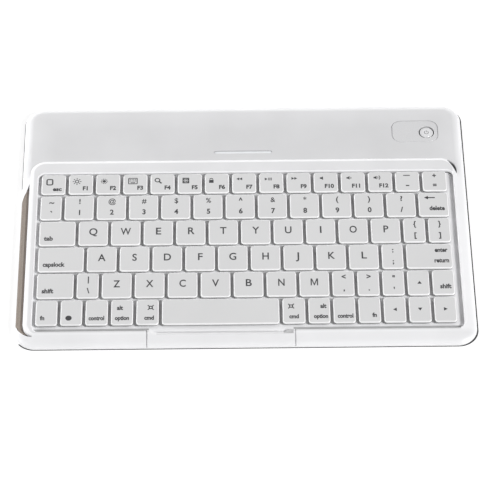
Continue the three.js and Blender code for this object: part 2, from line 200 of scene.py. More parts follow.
def make_object(name, bm):
    """Turns a millimetre bmesh into an object in metres."""
    bmesh.ops.recalc_face_normals(bm, faces=bm.faces)
    mesh = bpy.data.meshes.new(name)
    bm.to_mesh(mesh)
    bm.free()
    obj = bpy.data.objects.new(name, mesh)
    bpy.context.scene.collection.objects.link(obj)
    for vertex in mesh.vertices:
        vertex.co *= MM
    return obj


def built(name, draw, *args):
    """An object whose mesh a drawing function fills."""
    bm = bmesh.new()
    draw(bm, *args)
    return make_object(name, bm)


def bake_modifiers(obj):
    depsgraph = bpy.context.evaluated_depsgraph_get()
    mesh = bpy.data.meshes.new_from_object(obj.evaluated_get(depsgraph))
    obj.modifiers.clear()
    obj.data = mesh


def merge(target, operation, other):
    """Combines another object with the target and uses it up."""
    modifier = target.modifiers.new("combine", "BOOLEAN")
    modifier.operation = operation
    modifier.solver = "EXACT"
    modifier.object = other
    bake_modifiers(target)
    bpy.data.objects.remove(other)


def combine(target, operation, draw, *args):
    """Cuts a drawn solid from the target, or joins it on."""
    merge(target, operation, built("cutter", draw, *args))


def soften(obj, width):
    """Small fillets on every sharp edge, with smooth shading that keeps flat faces flat."""
    bevel = obj.modifiers.new("fillet", "BEVEL")
    bevel.width = width * MM
    bevel.segments = 2
    bevel.limit_method = "ANGLE"
    bevel.angle_limit = math.radians(35)
    bevel.use_clamp_overlap = True
    bevel.harden_normals = False
    bake_modifiers(obj)
    smooth(obj)


def smooth(obj, angle=40):
    obj.data.shade_smooth()
    obj.data.set_sharp_from_angle(angle=math.radians(angle))
    weighted = obj.modifiers.new("weighted", "WEIGHTED_NORMAL")
    weighted.keep_sharp = True


def finish_piece(obj, material, body, slot, *nodes):
    obj.data.materials.clear()
    obj.data.materials.append(material)
    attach(obj, body)
    if nodes:
        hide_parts(*nodes)


# ---- Materials ----
def base_material(name, roughness, metallic=0.0, specular=0.5, coat=0.0):
    material = bpy.data.materials.new(name)
    material.use_nodes = True
    shader = material.node_tree.nodes["Principled BSDF"]
    shader.inputs["Roughness"].default_value = roughness
    shader.inputs["Metallic"].default_value = metallic
    shader.inputs["Specular IOR Level"].default_value = specular
    shader.inputs["Coat Weight"].default_value = coat
    return material, shader


def noise(material, scale, detail, rough=0.5, stretch=(1, 1, 1)):
    nodes, links = material.node_tree.nodes, material.node_tree.links
    coordinates = nodes.new("ShaderNodeTexCoord")
    mapping = nodes.new("ShaderNodeMapping")
    mapping.inputs["Scale"].default_value = stretch
    texture = nodes.new("ShaderNodeTexNoise")
    texture.inputs["Scale"].default_value = scale
    texture.inputs["Detail"].default_value = detail
    texture.inputs["Roughness"].default_value = rough
    links.new(coordinates.outputs["Object"], mapping.inputs["Vector"])
    links.new(mapping.outputs["Vector"], texture.inputs["Vector"])
    return texture.outputs["Fac"]


def ramp(material, source, *stops):
    """A colour ramp between two stops, driven by a texture; each is (position, grey or colour)."""
    node = material.node_tree.nodes.new("ShaderNodeValToRGB")
    for element, (position, colour) in zip(node.color_ramp.elements, stops):
        grey = isinstance(colour, float)
        element.position = position
        element.color = (colour, colour, colour, 1) if grey else (*colour, 1)
    material.node_tree.links.new(source, node.inputs["Fac"])
    return node.outputs["Color"]


def bump(material, shader, height, strength, distance):
    node = material.node_tree.nodes.new("ShaderNodeBump")
    node.inputs["Strength"].default_value = strength
    node.inputs["Distance"].default_value = distance * MM
    material.node_tree.links.new(height, node.inputs["Height"])
    material.node_tree.links.new(node.outputs["Normal"], shader.inputs["Normal"])


def shade(colour, factor):
    return tuple(channel * factor for channel in colour)


def moulded(name, colour, roughness, variation=0.03, grain=0.012, coat=0.0):
    """Moulded plastic: slow colour drift, fine spark-eroded grain and a varying gloss."""
    material, shader = base_material(name, roughness, coat=coat)
    links = material.node_tree.links
    drift = noise(material, 35.0, detail=4.0)
    tint = ramp(material, drift, (0.3, shade(colour, 1 - variation)), (0.7, shade(colour, 1 + variation)))
    links.new(tint, shader.inputs["Base Color"])
    speckle = noise(material, 2600.0, detail=2.0)
    gloss = ramp(material, speckle, (0.2, roughness - 0.06), (0.8, roughness + 0.06))
    links.new(gloss, shader.inputs["Roughness"])
    bump(material, shader, speckle, 0.5, grain)
    return material


def math_node(material, operation, first, second=0.0, clamp=False):
    """One arithmetic step; each input is a number or another node's output."""
    node = material.node_tree.nodes.new("ShaderNodeMath")
    node.operation = operation
    node.use_clamp = clamp
    for socket, value in zip(node.inputs, (first, second)):
        if isinstance(value, (int, float)):
            socket.default_value = value
        else:
            material.node_tree.links.new(value, socket)
    return node.outputs["Value"]


def position_mm(material):
    """The X, Y and Z of a surface point on the object, in millimetres."""
    nodes, links = material.node_tree.nodes, material.node_tree.links
    coordinates = nodes.new("ShaderNodeTexCoord")
    split = nodes.new("ShaderNodeSeparateXYZ")
    links.new(coordinates.outputs["Object"], split.inputs["Vector"])
    return [math_node(material, "MULTIPLY", split.outputs[axis], 1 / MM) for axis in "XYZ"]


def step_between(material, value, low, high):
    """0 below low, 1 above high, and a straight rise between them."""
    scaled = math_node(material, "SUBTRACT", value, low)
    return math_node(material, "DIVIDE", scaled, high - low, clamp=True)


def fall_between(material, value, low, high):
    """1 below low, 0 above high, and a straight fall between them."""
    return math_node(material, "SUBTRACT", 1.0, step_between(material, value, low, high))


def product(material, *masks):
    result = masks[0]
    for mask in masks[1:]:
        result = math_node(material, "MULTIPLY", result, mask)
    return result


def retint(material, mask, factor):
    """Multiplies the base colour by factor where the mask is 1."""
    nodes, links = material.node_tree.nodes, material.node_tree.links
    shader = nodes["Principled BSDF"]
    source = shader.inputs["Base Color"].links[0].from_socket
    mix = nodes.new("ShaderNodeMix")
    mix.data_type = "RGBA"
    mix.blend_type = "MULTIPLY"
    links.new(mask, mix.inputs["Factor"])
    links.new(source, mix.inputs["A"])
    mix.inputs["B"].default_value = (factor, factor, factor, 1)
    links.new(mix.outputs["Result"], shader.inputs["Base Color"])


def darken_below(material, top, factor, x_range=None, y_range=None):
    """Darkens the surfaces below a height, for a recess whose inside hardly any light reaches."""
    x, y, z = position_mm(material)
    masks = [fall_between(material, z, top - 0.15, top)]
    for value, limits in ((x, x_range), (y, y_range)):
        if limits:
            low, high = limits
            masks.append(step_between(material, value, low, low + MASK_EDGE))
            masks.append(fall_between(material, value, high - MASK_EDGE, high))
    retint(material, product(material, *masks), factor)


def distance_from_outline(material, x, y):
    """How far a point of the rear deck lies inside the shell's outline, with its round corners."""
    across = math_node(material, "SUBTRACT", math_node(material, "ABSOLUTE", x), HALF_WIDTH - SHELL_CORNER)
    along = math_node(material, "SUBTRACT", y, HALF_DEPTH - SHELL_CORNER)
    squares = []
    for offset in (across, along):
        squares.append(math_node(material, "POWER", math_node(material, "MAXIMUM", offset, 0.0), 2.0))
    corner = math_node(material, "SQRT", math_node(material, "ADD", *squares))
    flat = math_node(material, "MINIMUM", math_node(material, "MAXIMUM", across, along), 0.0)
    return math_node(material, "SUBTRACT", SHELL_CORNER, math_node(material, "ADD", corner, flat))


def painted_flat_shade(material):
    """Painted shade: the flats of the rear deck, the lip and the island are greyer than their rounded edges.
    """
    x, y, z = position_mm(material)
    depth = distance_from_outline(material, x, y)
    shares = []
    for low, high, share in DECK_TONE_FADES:
        shares.append(math_node(material, "MULTIPLY", step_between(material, depth, low, high), share))
    inside = math_node(material, "ADD", *shares)
    level = fall_between(material, z, *DECK_TONE_HEIGHTS)
    rear = step_between(material, y, *DECK_TONE_START)
    retint(material, product(material, inside, level, rear), DECK_TONE)
    retint(material, fall_between(material, y, *LIP_TONE_FADE), LIP_TONE)
    retint(material, step_between(material, z, ISLAND_TOP - 0.08, ISLAND_TOP - 0.02), ISLAND_TONE)


def painted_top_shade(material, factor, top):
    """Painted shade on the flat top of a part, which leaves its rounded edge lighter, as if lit."""
    _, _, z = position_mm(material)
    retint(material, step_between(material, z, top - 0.07, top - 0.015), factor)


def painted_skirt_shadow(material, top):
    """Painted shadow: the lower edge of a cap is darker than its rim, where shade falls under the cap."""
    _, _, z = position_mm(material)
    retint(material, fall_between(material, z, top - 0.98, top - 0.78), SKIRT_TONE)


def rubber(name, colour, roughness, grain):
    """Soft rubber: pebbled grain with a darker tone in its hollows."""
    material, shader = base_material(name, roughness, specular=0.3)
    links = material.node_tree.links
    pebble = noise(material, 1400.0, detail=3.0, rough=0.7)
    tint = ramp(material, pebble, (0.3, shade(colour, 0.86)), (0.65, shade(colour, 1.08)))
    links.new(tint, shader.inputs["Base Color"])
    bump(material, shader, pebble, 0.8, grain)
    return material


def brushed(name, colour, roughness):
    """Rolled sheet metal with fine lines along its length."""
    material, shader = base_material(name, roughness, metallic=1.0)
    links = material.node_tree.links
    lines = noise(material, 900.0, detail=2.0, stretch=(0.02, 1, 1))
    tint = ramp(material, lines, (0.3, shade(colour, 0.9)), (0.7, colour))
    links.new(tint, shader.inputs["Base Color"])
    gloss = ramp(material, lines, (0.2, roughness - 0.08), (0.8, roughness + 0.1))
    links.new(gloss, shader.inputs["Roughness"])
    bump(material, shader, lines, 0.3, 0.01)
    return material


# Factors on a material's colour, each one painted shade on flats, in recesses and gaps, or under the caps.
# They match the photo's differences between faces, which soft light alone leaves too small.
DECK_TONE = 0.715
DECK_TONE_FADES = ((1.8, 5.0, 0.8), (5.0, 18.0, 0.2))  # start and end inside the outline, and share
DECK_TONE_HEIGHTS = (5.45, 5.9)  # it ends between these heights
DECK_TONE_START = (30.0, 36.0)  # it starts between these depths
LIP_TONE = 0.89
LIP_TONE_FADE = (-80.0, -76.5)
ISLAND_TONE = 0.81
POCKET_TONE = 0.3
NOTCH_TONE = 0.88
NOTCH_RAMP_TONE = 0.6
WELL_EDGE_TONE = 0.3
TRAY_FRONT_TONE = 0.5
CAP_TONE = 0.715
SKIRT_TONE = 0.25
BUTTON_TONE = 0.92
GAP_TONE = 0.3  # painted shade on the walls of the gaps round the panel and the button
MASK_EDGE = 0.1

WHITE_COOL = (0.985, 0.985, 1.0)
SHELL_WHITE = moulded("shell_white", shade(WHITE_COOL, 0.97), 0.42)
# Painted shade on the flats of the deck, the lip and the island.
painted_flat_shade(SHELL_WHITE)
# Painted shade in the crescent pocket behind the island's rear right corner.
darken_below(SHELL_WHITE, POCKET_FLOOR + 0.9, POCKET_TONE, *POCKET_AREA)
# Painted shade in the thumb relief, darker still on its right ramp, which faces away from the light.
darken_below(SHELL_WHITE, ISLAND_TOP + 1, NOTCH_TONE,
             (NOTCH[0] + 5, NOTCH_END), (NOTCH_CREST, WELL_FRONT + 1.5))
darken_below(SHELL_WHITE, ISLAND_TOP + 1, NOTCH_RAMP_TONE,
             (NOTCH_END - 5.4, NOTCH_END), (NOTCH_CREST + 0.5, WELL_FRONT + 1.5))
# Painted shadow along the lip's inner edge, beside the key well, on both sides of the relief.
for lip_part in ((WELL[0] + 2, NOTCH[0]), (NOTCH[1], WELL[1] - 2)):
    darken_below(SHELL_WHITE, ISLAND_TOP - 0.02, WELL_EDGE_TONE,
                 lip_part, (WELL_FRONT - 1.25, WELL_FRONT + 1))
COVER_WHITE = moulded("cover_white", shade(WHITE_COOL, 0.7), 0.5, grain=0.03)
KEY_WHITE = moulded("key_white", (0.97, 0.97, 0.975), 0.45, variation=0.015)
# Painted shade on the flat tops of the caps.
painted_top_shade(KEY_WHITE, CAP_TONE, ISLAND_TOP)
# Painted shadow on the lower edge of each cap.
painted_skirt_shadow(KEY_WHITE, ISLAND_TOP)
TRAY_WHITE = moulded("tray_white", shade(WHITE_COOL, 0.97), 0.5)
# Painted shade on the tray floor in front of the bottom row of keys.
for floor_part in ((WELL[0], NOTCH[0] + 1), (NOTCH[1] - 1, WELL[1])):
    darken_below(TRAY_WHITE, TRAY_HIGH.z + 0.2, TRAY_FRONT_TONE,
                 floor_part, (WELL_FRONT - 1, WELL_FRONT + 2.85))
PANEL_WHITE = moulded("panel_white", shade(WHITE_COOL, 0.7), 0.28, grain=0.006, coat=0.2)
# Painted shade on the walls of the button's seat.
darken_below(PANEL_WHITE, PANEL_HIGH.z - 0.32, GAP_TONE)
BUTTON_WHITE = moulded("button_white", shade(WHITE_COOL, 0.82), 0.25, grain=0.004, coat=0.3)
# Painted shade on the flat top of the button.
painted_top_shade(BUTTON_WHITE, BUTTON_TONE, BUTTON_HIGH.z - 0.03)
# Painted shade on the button's side below its rim.
darken_below(BUTTON_WHITE, BUTTON_HIGH.z - 0.4, GAP_TONE)
LIGHT_WHITE = moulded("light_guide", (0.86, 0.88, 0.9), 0.3, grain=0.004)
LEGEND_INK = moulded("legend_ink", (0.05, 0.05, 0.054), 0.5, variation=0.15, grain=0.004)
# The grip's dark taupe is partly painted shade: it stands in for the shaded gap beside the island.
GRIP_TAUPE = rubber("grip_taupe", (0.33, 0.285, 0.25), 0.75, 0.04)
# A near-black bead painted as the contact shadow under the casing's edge.
CONTACT_SHADOW_BLACK = moulded("edge_line_grey", (0.05, 0.05, 0.052), 0.6)
FOOT_GREY = rubber("foot_rubber", (0.42, 0.42, 0.43), 0.8, 0.05)
DOME_MILK = rubber("dome_silicone", (0.8, 0.8, 0.77), 0.6, 0.01)
FILM = moulded("circuit_film", (0.72, 0.68, 0.5), 0.4)
STEEL = brushed("sheet_steel", (0.62, 0.63, 0.65), 0.35)
FOIL = brushed("battery_foil", (0.55, 0.57, 0.6), 0.4)
BOARD = moulded("board_green", (0.05, 0.2, 0.11), 0.45, variation=0.1)


# CAD nodes that stay as they are, and their finishes
CAD_FINISHES = {
    "key_tray": TRAY_WHITE,
    "key_support_plate": STEEL,
    "key_circuit_sheet": FILM,
    "dome_sheet": DOME_MILK,
    "main_board": BOARD,
    "battery": FOIL,
    "charging_port": STEEL,
}


# ---- Top shell: rear deck, island, side rims and front lip in one moulding ----
UNDERCUT = quarter(LOWER_EDGE["inset"], LOWER_EDGE["rise"], SHELL_BOTTOM, "lower", 12)


def rim_curve(steps=16):
    """(inset, z) along the lip and rims, from the outer wall up to the flat top."""
    points = []
    for i in range(steps + 1):
        t = 1 - i / steps
        weights = ((1 - t) ** 3, 3 * t * (1 - t) ** 2, 3 * t * t * (1 - t), t ** 3)
        inset = sum(w * p[0] for w, p in zip(weights, RIM_CURVE))
        drop = sum(w * p[1] for w, p in zip(weights, RIM_CURVE))
        points.append((inset, ISLAND_TOP + drop))
    return points


def lip_height(inset):
    """Height of the lip's upper side at a distance from the outline."""
    curve = rim_curve()
    for (low_inset, low_z), (high_inset, high_z) in zip(curve, curve[1:]):
        if low_inset <= inset <= high_inset:
            return low_z + (high_z - low_z) * (inset - low_inset) / (high_inset - low_inset)
    return ISLAND_TOP


def draw_deck(bm):
    edge = quarter(DECK_EDGE["inset"], DECK_EDGE["rise"], DECK_TOP, "upper", 12)
    slab(bm, SHELL_PLAN, SHELL_CORNER, UNDERCUT + edge)


def draw_rims(bm):
    slab(bm, SHELL_PLAN, SHELL_CORNER, UNDERCUT + rim_curve())


def draw_rim_zone(bm):
    """Everything in front of a ramp that falls from the rims to the deck."""
    low, high = RIM_RAMP
    front = -HALF_DEPTH - 2
    foot, lead_in_drop = DECK_TOP - 0.5, 2.6
    rise = ISLAND_TOP + 0.3 - foot
    steps = 12
    profile = [(front, 0), (low + RIM_LEAD_IN, 0)]
    for i in range(steps):
        t = 1 - i / steps
        profile.append((low + RIM_LEAD_IN * t, foot - lead_in_drop * t ** 2))
    for i in range(steps + 1):
        t = i / steps
        profile.append((low + (high - low) * t, foot + rise * smoothstep(t)))
    profile.append((front, ISLAND_TOP + 0.4))
    loft(bm, [[(x, y, z) for y, z in profile] for x in (-HALF_WIDTH - 2, HALF_WIDTH + 2)])


def draw_island(bm):
    edge = quarter(ISLAND_EDGE["inset"], ISLAND_EDGE["rise"], ISLAND_TOP, "upper", 10)
    slab(bm, ISLAND, ISLAND_CORNER, [(0, ISLAND_FOOT)] + edge)


def draw_well(bm):
    """The well, with a rounded upper edge that is widest along the lip."""
    side, front = WELL_EDGE["side"], WELL_EDGE["front"]
    profile = [(0, 0), (0, TRAY_HIGH.z + 0.5)] + quarter(1, WELL_EDGE["rise"], ISLAND_TOP, "upper", 7)
    profile.append((1, ABOVE_ALL))
    x0, x1, y0, y1 = WELL
    rings = []
    for flare, z in profile:
        rect = (x0 - side * flare, x1 + side * flare, y0 - front * flare, y1 + side * flare)
        rings.append([(x, y, z) for x, y in rounded_outline(rect, WELL_CORNER + side * flare, 8)])
    loft(bm, rings)


def draw_slab_cut(bm, rect, radius, z0, z1):
    slab(bm, rect, radius, [(0, z0), (0, z1)], 8)


def draw_disc_cut(bm, x, y, radius, z0, z1):
    lathe(bm, x, y, [(radius, z0), (radius, z1)])


def draw_relief(bm):
    """The scoop in the lip: it falls from a crest towards the keys and rises at both ends."""
    left_ramp, right_ramp = NOTCH_RAMPS
    rim = ISLAND_TOP + 0.05
    crest = lip_height(HALF_DEPTH + NOTCH_CREST)
    steps = 10
    stations = [(NOTCH[0] + left_ramp * i / steps, smoothstep(i / steps)) for i in range(steps + 1)]
    stations += [(NOTCH_END - right_ramp * i / steps, i / steps) for i in range(steps, -1, -1)]
    sections = []
    for x, depth in stations:
        floor = rim - (rim - NOTCH_FLOOR) * depth
        top = crest + (rim - crest) * (1 - depth)
        section = [(WELL_FRONT + 1.2, ABOVE_ALL), (WELL_FRONT + 1.2, floor)]
        for i in range(9):
            t = i / 8
            y = WELL_FRONT + (NOTCH_CREST - WELL_FRONT) * t
            section.append((y, floor + (top - floor) * math.sin(math.pi / 2 * t) ** 1.3))
        section.append((NOTCH_CREST, ABOVE_ALL))
        sections.append([(x, y, z) for y, z in section])
    loft(bm, sections)


def draw_seam(bm, x):
    """A fine groove that follows the rounded front of the lip."""
    curve = rim_curve()
    points = [(WELL_FRONT + 1, ISLAND_TOP - SEAM_DEPTH), (WELL_FRONT + 1, ISLAND_TOP + 1),
              (-HALF_DEPTH - 1, ISLAND_TOP + 1), (-HALF_DEPTH - 1, curve[0][1])]
    for (inset, z), (next_inset, next_z) in zip(curve, curve[1:]):
        along = Vector((next_inset - inset, next_z - z)).normalized()
        points.append((-HALF_DEPTH + inset + SEAM_DEPTH * along.y, z - SEAM_DEPTH * along.x))
    loft(bm, [[(x + side * SEAM_WIDTH / 2, y, z) for y, z in points] for side in (-1, 1)])


def channel_outline(inner, outer, shorten, steps=16):
    """Plan of the left side channel, which narrows round the island's front corner."""
    x0, _, y0, _ = ISLAND
    centre = Vector((x0 + ISLAND_CORNER, y0 + ISLAND_CORNER))
    start, end = CHANNEL_BEND["from"], CHANNEL_BEND["to"]
    wide, narrow = CHANNEL_BEND["wide"], CHANNEL_BEND["narrow"]
    last = end - 2 * shorten
    slope = CHANNEL_TAPER / CHANNEL_WIDTH
    points = [(x0 - offset, CHANNEL_TIP - slope * offset - shorten) for offset in (inner, outer)]
    points.append((x0 - outer, centre.y))
    for i in range(steps + 1):
        degrees = start + (last - start) * i / steps
        radius = ISLAND_CORNER + wide + (narrow - wide) * (degrees - start) / (end - start) - inner
        angle = math.radians(degrees)
        points.append((centre.x + radius * math.cos(angle), centre.y + radius * math.sin(angle)))
    return points + arc(centre.x, centre.y, ISLAND_CORNER + inner, last, 180 - last, steps)


def draw_channel(bm):
    past_the_wall = 8
    prism(bm, channel_outline(0, past_the_wall, 0), CHANNEL_FLOOR, ABOVE_ALL)


def draw_corner_pocket(bm):
    """The crescent between the island's rear right corner and the right rim."""
    start, end = (Vector(point) for point in POCKET_ENDS)
    along = end - start
    outward = Vector((-along.y, along.x)).normalized()
    outer, inner = POCKET_BULGES
    steps = 16
    points = []
    for bulge, order in ((outer, range(steps + 1)), (inner, range(steps - 1, 0, -1))):
        for i in order:
            t = i / steps
            point = start + along * t + outward * (4 * bulge * t * (1 - t))
            points.append((point.x, point.y))
    prism(bm, points, POCKET_FLOOR, ABOVE_ALL)


def cut(target, rect, radius, z0, z1):
    combine(target, "DIFFERENCE", draw_slab_cut, rect, radius, z0, z1)


def plan_of(low, high):
    return (low.x, high.x, low.y, high.y)


def cut_port(target):
    opening = (PORT_LOW.x - CLEARANCE, PORT_HIGH.x + CLEARANCE, PORT_LOW.y, HALF_DEPTH + 2)
    cut(target, opening, 0.5, PORT_LOW.z - CLEARANCE, PORT_HIGH.z + CLEARANCE)


def cut_underside(shell):
    """The seats of the tray and the cover, and the bay for the battery and the board."""
    tray = grown(plan_of(TRAY_LOW, TRAY_HIGH), CLEARANCE)
    cut(shell, tray, TRAY_SEAT_CORNER, 0, TRAY_HIGH.z + 0.1)
    cover = grown(plan_of(COVER_LOW, COVER_HIGH), CLEARANCE)
    cut(shell, cover, COVER_CORNER + CLEARANCE, 0, COVER_HIGH.z + CLEARANCE)
    cut(shell, BATTERY_BAY, 2, 1, BAY_TOP)


def cut_inserts(shell):
    """The openings for the control panel, the power button and the light bar."""
    panel = grown(plan_of(PANEL_LOW, PANEL_HIGH), INSERT_GAP)
    cut(shell, panel, PANEL_CORNER + INSERT_GAP, PANEL_LOW.z - CLEARANCE, ABOVE_ALL)
    button = (BUTTON_LOW + BUTTON_HIGH) / 2
    radius = BUTTON_HIGH.x - button.x + BUTTON_GAP
    combine(shell, "DIFFERENCE", draw_disc_cut, button.x, button.y, radius, BUTTON_SEAT_FLOOR, ABOVE_ALL)
    light = grown(plan_of(LIGHT_LOW, LIGHT_HIGH), INSERT_GAP)
    light_radius = (LIGHT_HIGH.y - LIGHT_LOW.y) / 2 + INSERT_GAP - 0.01
    cut(shell, light, light_radius, LIGHT_LOW.z - CLEARANCE, ABOVE_ALL)


def make_shell():
    shell = built("top_shell_moulding", draw_deck)
    rims = built("rims", draw_rims)
    combine(rims, "INTERSECT", draw_rim_zone)
    merge(shell, "UNION", rims)
    combine(shell, "UNION", draw_island)
    combine(shell, "DIFFERENCE", draw_well)
    cut_underside(shell)
    combine(shell, "DIFFERENCE", draw_relief)
    for x in NOTCH:
        combine(shell, "DIFFERENCE", draw_seam, x)
    cut_inserts(shell)
    combine(shell, "DIFFERENCE", draw_channel)
    combine(shell, "DIFFERENCE", draw_corner_pocket)
    cut_port(shell)
    soften(shell, SHELL_FILLET)
    finish_piece(shell, SHELL_WHITE, "base", "shell", "top_shell")


def draw_edge_line(bm):
    low, high = (SHELL_BOTTOM + height for height in EDGE_LINE)
    left, right, front = EDGE_LINE_PROUD
    plan = (-HALF_WIDTH - left, HALF_WIDTH + right, -HALF_DEPTH - front, HALF_DEPTH + front)
    rounding = EDGE_LINE_ROUNDING
    profile = quarter(rounding, rounding, low, "lower", 3) + quarter(rounding, rounding, high, "upper", 3)
    slab(bm, plan, SHELL_CORNER, profile)


def make_edge_line():
    """A thin dark bead round the lower edge of the casing that stands in for the contact shadow under it,
    except beside the grip.
    """
    line = built("edge_line", draw_edge_line)
    cut(line, grown(SHELL_PLAN, -EDGE_LINE_DEPTH), SHELL_CORNER - EDGE_LINE_DEPTH, 0, 5)
    beside_grip = (-HALF_WIDTH - 2, -HALF_WIDTH + 8, -HALF_DEPTH + 4, GRIP_HIGH.y + 2)
    cut(line, beside_grip, 1, 0, 5)
    cut_port(line)
    smooth(line)
    finish_piece(line, CONTACT_SHADOW_BLACK, "base", "shell")


# ---- Left edge grip ----
GRIP_SHORTER = 0.5  # than its channel at each end


def draw_grip(bm):
    rings = []
    foot = quarter(0.15, 0.2, GRIP_LOW.z, "lower", 2)
    crown = quarter(0.9, 0.8, GRIP_HIGH.z, "upper", 6)
    for inset, z in foot + crown:
        outline = channel_outline(CLEARANCE + inset, CHANNEL_WIDTH - inset, GRIP_SHORTER)
        rings.append([(x, y, z) for x, y in outline])
    loft(bm, rings)
    slope_width, slope_share = 2.6, 0.55  # the upper side slopes down towards the island
    for vertex in bm.verts:
        if vertex.co.z > GRIP_LOW.z + 0.5:
            beside = min(max((vertex.co.x - ISLAND[0] + slope_width) / slope_width, 0), 1)
            vertex.co.z -= (vertex.co.z - GRIP_LOW.z - 0.4) * slope_share * beside


def make_grip():
    grip = built("left_edge_grip_strip", draw_grip)
    smooth(grip, 50)
    finish_piece(grip, GRIP_TAUPE, "base", "grip", "left_edge_grip")


# ---- Keys ----
KEY_GAP = 1.6
CAP_RADIUS = 1.8
CAP_EDGE = {"inset": 0.75, "rise": 0.55}
CAP_DRAFT = 0.08  # how much the sides of a cap lean in

# The caps on each CAD piece that carries more than one, as widths in letter widths.
STRIP_WIDTHS = {
    "keys_function_left": [0.85] * 8,
    "keys_function_right": [0.85] * 7,
    "keys_number_left": [0.75, 1, 1, 1, 1, 1],
    "keys_number_right": [1] * 6,
    "keys_brackets": [0.77] * 2,
    "keys_punctuation": [0.76] * 3,
    "keys_modifiers_left": [0.75, 0.75, 0.77, 0.76, 0.77],
    "keys_modifiers_right": [0.78, 0.75, 0.76, 0.76],
    "keys_arrows": [0.76] * 3,
}


def cap_rects(node):
    """The rectangles of the caps that one CAD key piece carries."""
    low, high = box_mm(node)
    widths = STRIP_WIDTHS.get(node, [1])
    unit = (high.x - low.x + KEY_GAP) / sum(widths)
    x = low.x - KEY_GAP / 2
    rects = []
    for width in widths:
        rects.append((x + KEY_GAP / 2, x + width * unit - KEY_GAP / 2, low.y, high.y))
        x += width * unit
    return rects


def draw_caps(bm, node):
    low, high = box_mm(node)
    edge = quarter(CAP_EDGE["inset"], CAP_EDGE["rise"], high.z, "upper", 5)
    profile = [(0.1, low.z), (0.0, low.z + 0.1), (0.05, low.z + 0.6)]
    profile += [(CAP_DRAFT + inset, z) for inset, z in edge[1:]]
    profile.append((CAP_EDGE["inset"] + 0.25, high.z))
    for rect in cap_rects(node):
        slab(bm, rect, CAP_RADIUS, profile, 5)


def make_caps(node):
    caps = built(node + "_caps", draw_caps, node)
    smooth(caps, 60)
    finish_piece(caps, KEY_WHITE, node, "keys", node)


# ---- Legends ----
LEGEND_LIFT = 0.012
CAPITAL_HEIGHT = 0.69  # of the typeface, as a share of its size


def text_marks(bm, text, x, y, size, bold, narrow, align="CENTER"):
    """Flat lettering whose capitals are `size` high, aligned on its baseline at (x, y)."""
    curve = bpy.data.curves.new("legend", "FONT")
    curve.body = text
    curve.size = size / CAPITAL_HEIGHT
    curve.align_x = align
    curve.align_y = "BOTTOM_BASELINE"
    curve.offset = bold
    curve.resolution_u = 4
    obj = bpy.data.objects.new("legend", curve)
    bpy.context.scene.collection.objects.link(obj)
    bpy.context.view_layer.update()
    mesh = bpy.data.meshes.new_from_object(obj.evaluated_get(bpy.context.evaluated_depsgraph_get()))
    for vertex in mesh.vertices:
        vertex.co.x = vertex.co.x * narrow + x
        vertex.co.y += y
    bm.from_mesh(mesh)
    bpy.data.objects.remove(obj)
    bpy.data.curves.remove(curve)
    bpy.data.meshes.remove(mesh)


def polygon(bm, points):
    bm.faces.new([bm.verts.new((x, y, 0)) for x, y in points])


def bar(bm, x, y, length, width, angle=0.0):
    ca, sa = math.cos(math.radians(angle)), math.sin(math.radians(angle))
    corners = ((-1, -1), (1, -1), (1, 1), (-1, 1))
    points = [(u * length / 2, v * width / 2) for u, v in corners]
    polygon(bm, [(x + u * ca - v * sa, y + u * sa + v * ca) for u, v in points])


def disc(bm, x, y, radius, steps=20):
    polygon(bm, circle(x, y, radius, steps))


def ring(bm, x, y, radius, width, start=0, sweep=360, steps=24):
    outer = arc(x, y, radius + width / 2, start, sweep, steps)
    inner = arc(x, y, radius - width / 2, start, sweep, steps)
    for i in range(steps):
        polygon(bm, [outer[i], outer[i + 1], inner[i + 1], inner[i]])


def frame_mark(bm, x, y, width, height, radius, line):
    plan = rect_around(x, y, width, height)
    outer = rounded_outline(plan, radius, 4)
    inner = rounded_outline(grown(plan, -line), max(radius - line, 0.05), 4)
    for i in range(len(outer)):
        j = (i + 1) % len(outer)
        polygon(bm, [outer[i], outer[j], inner[j], inner[i]])


def triangle(bm, x, y, length, width, direction):
    """An arrowhead centred on (x, y), `length` long towards its tip and `width` across."""
    u, v = {"left": (-1, 0), "right": (1, 0), "up": (0, 1), "down": (0, -1)}[direction]
    tip = (x + u * length / 2, y + v * length / 2)
    back = (x - u * length / 2, y - v * length / 2)
    polygon(bm, [tip, (back[0] - v * width / 2, back[1] + u * width / 2),
                 (back[0] + v * width / 2, back[1] - u * width / 2)])


def icon_home(bm, x, y):
    frame_mark(bm, x, y, 3.9, 4.7, 1.1, 0.75)


def icon_sun(bm, x, y):
    ring(bm, x, y, 0.95, 0.5)
    for i, (u, v) in enumerate(circle(x, y, 2.0, 8)):
        bar(bm, u, v, 0.8, 0.5, 45 * i)


def icon_dim_sun(bm, x, y):
    disc(bm, x, y, 0.95)
    for u, v in circle(x, y, 1.6, 10):
        disc(bm, u, v, 0.33, 8)


def icon_keyboard(bm, x, y):
    frame_mark(bm, x, y, 5.2, 4.6, 0.5, 0.5)
    for row in range(2):
        for column in range(4):
            bar(bm, x - 1.5 + 1.0 * column, y + 1.15 - 1.1 * row, 0.6, 0.6)
    bar(bm, x, y - 1.25, 2.6, 0.6)


def icon_search(bm, x, y):
    ring(bm, x - 0.4, y + 0.5, 1.3, 0.6)
    bar(bm, x + 1.2, y - 1.2, 2.0, 0.85, -45)


def icon_grid(bm, x, y):
    frame_mark(bm, x, y, 3.7, 4.1, 0.3, 0.5)
    for dx in (-0.75, 0.75):
        for dy in (-0.85, 0.85):
            frame_mark(bm, x + dx, y + dy, 1.2, 1.3, 0.2, 0.4)


def icon_lock(bm, x, y):
    bar(bm, x, y - 0.75, 2.5, 2.2)
    ring(bm, x, y + 0.6, 0.85, 0.5, 0, 180, 12)


def icon_skip(direction):
    """Two arrowheads in a row."""
    def draw(bm, x, y):
        for dx in (-0.8, 0.8):
            triangle(bm, x + dx, y, 1.6, 2.0, direction)
    return draw


